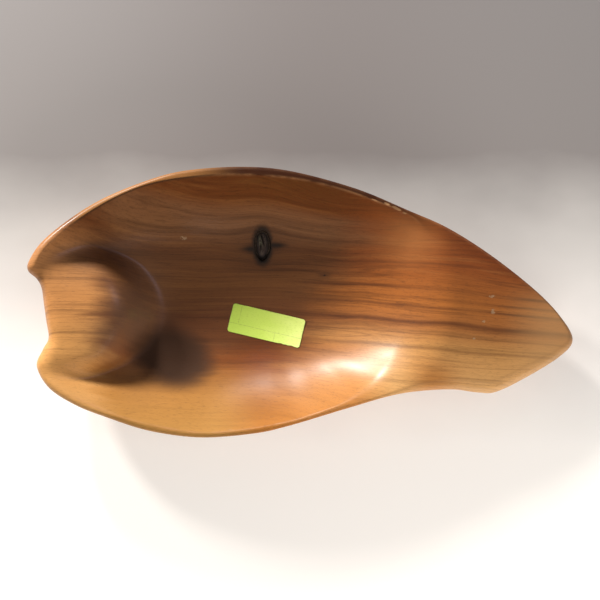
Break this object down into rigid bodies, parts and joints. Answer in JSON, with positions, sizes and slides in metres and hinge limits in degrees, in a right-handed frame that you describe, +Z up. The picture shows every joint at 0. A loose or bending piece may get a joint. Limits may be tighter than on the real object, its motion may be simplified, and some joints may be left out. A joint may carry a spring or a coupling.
{
  "type": "tray",
  "caption": "Leaf-shaped carved wooden tray: a deep basin with a thin raised rim, a notched end with horns and a rounded nose, and a solid pointed end.",
  "frame": {"origin": "on the surface that the tray stands on, under the middle of the tray's length and width", "axes": "+X along the length, from the notched end to the pointed end; +Y across, towards the higher long rim; +Z up, out of the basin"},
  "size_m": [0.475, 0.232, 0.0702],
  "materials": {
    "tray_wood": "figured brown hardwood under satin to gloss clear lacquer, pale sapwood along one long edge",
    "knot_wood": "dead knot wood, dark and cracked, lacquered",
    "knot_bark": "rough dark bark, lacquered over",
    "label_paper": "matte lime green label paper with faint ruled lines, no print"
  },
  "bodies": {
    "root": {"tray_body": "tray_wood", "knot_core": "knot_wood", "knot_bark_ring": "knot_bark", "price_label": "label_paper"}
  },
  "joints": []
}
